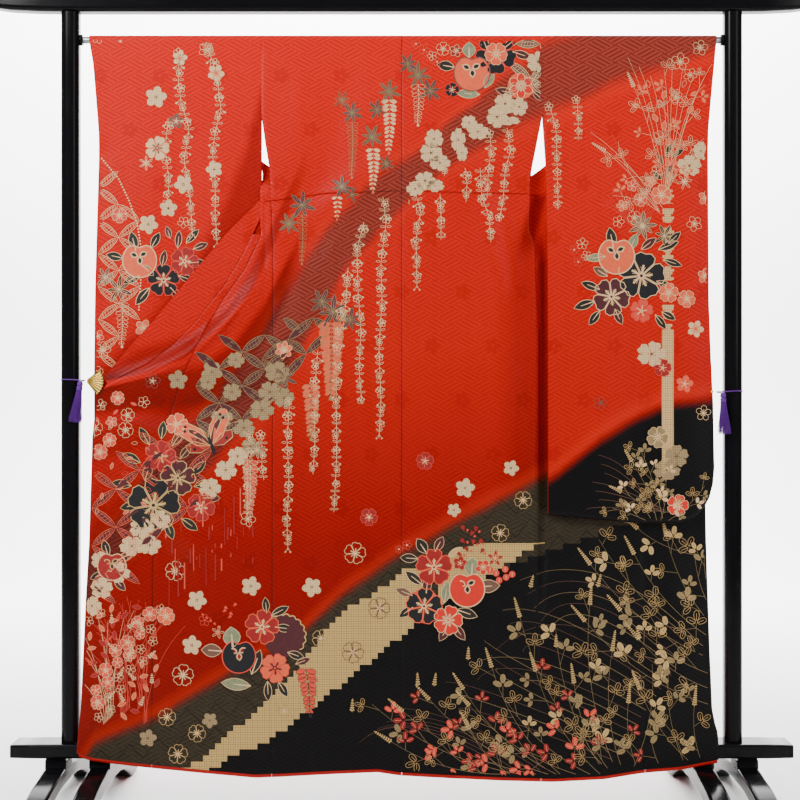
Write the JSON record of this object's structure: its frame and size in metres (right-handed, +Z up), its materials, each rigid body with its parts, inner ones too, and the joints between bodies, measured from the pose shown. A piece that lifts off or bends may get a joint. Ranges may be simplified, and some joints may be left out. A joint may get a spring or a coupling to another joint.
{
  "type": "furisode on kimono stand",
  "caption": "Long-sleeved formal silk kimono spread flat on a black lacquered stand, seen from its back, one front drawn out and clipped to the post.",
  "frame": {"origin": "on the floor under the middle of the stand", "axes": "+Z up; +X along the top beam, to the right as seen facing the kimono's back; -Y faces the viewer, the kimono's back side"},
  "size_m": [1.83, 0.664, 1.777],
  "materials": {
    "silk": "patterned satin damask",
    "lining": "plain satin",
    "lacquer": "gloss black lacquer",
    "rod_metal": "satin",
    "gilt": "gilt",
    "purple_silk": "silk floss"
  },
  "bodies": {
    "root": {"back_left": "silk", "back_right": "silk", "front_left": "silk", "front_right": "silk", "okumi_left": "silk", "okumi_right": "silk", "collar_left": "silk", "collar_right": "silk", "sleeve_left": "silk", "sleeve_right": "silk", "hem_okumi_left": "lining", "hem_front_left": "lining", "hem_back_left": "lining", "hem_back_right": "lining", "hem_front_right": "lining", "hem_okumi_right": "lining", "top_beam": "lacquer", "post_left": "lacquer", "post_right": "lacquer", "base_rail": "lacquer", "foot_outer_left": "lacquer", "foot_inner_left": "lacquer", "foot_inner_right": "lacquer", "foot_outer_right": "lacquer", "rod_socket_left": "lacquer", "rod_socket_right": "lacquer", "hanging_rod": "rod_metal", "clip_fan_left": "gilt", "clip_bead_right": "gilt", "clip_cord_left": "purple_silk", "clip_cord_right": "purple_silk", "tassel_left": "purple_silk", "tassel_right": "purple_silk"}
  },
  "joints": []
}
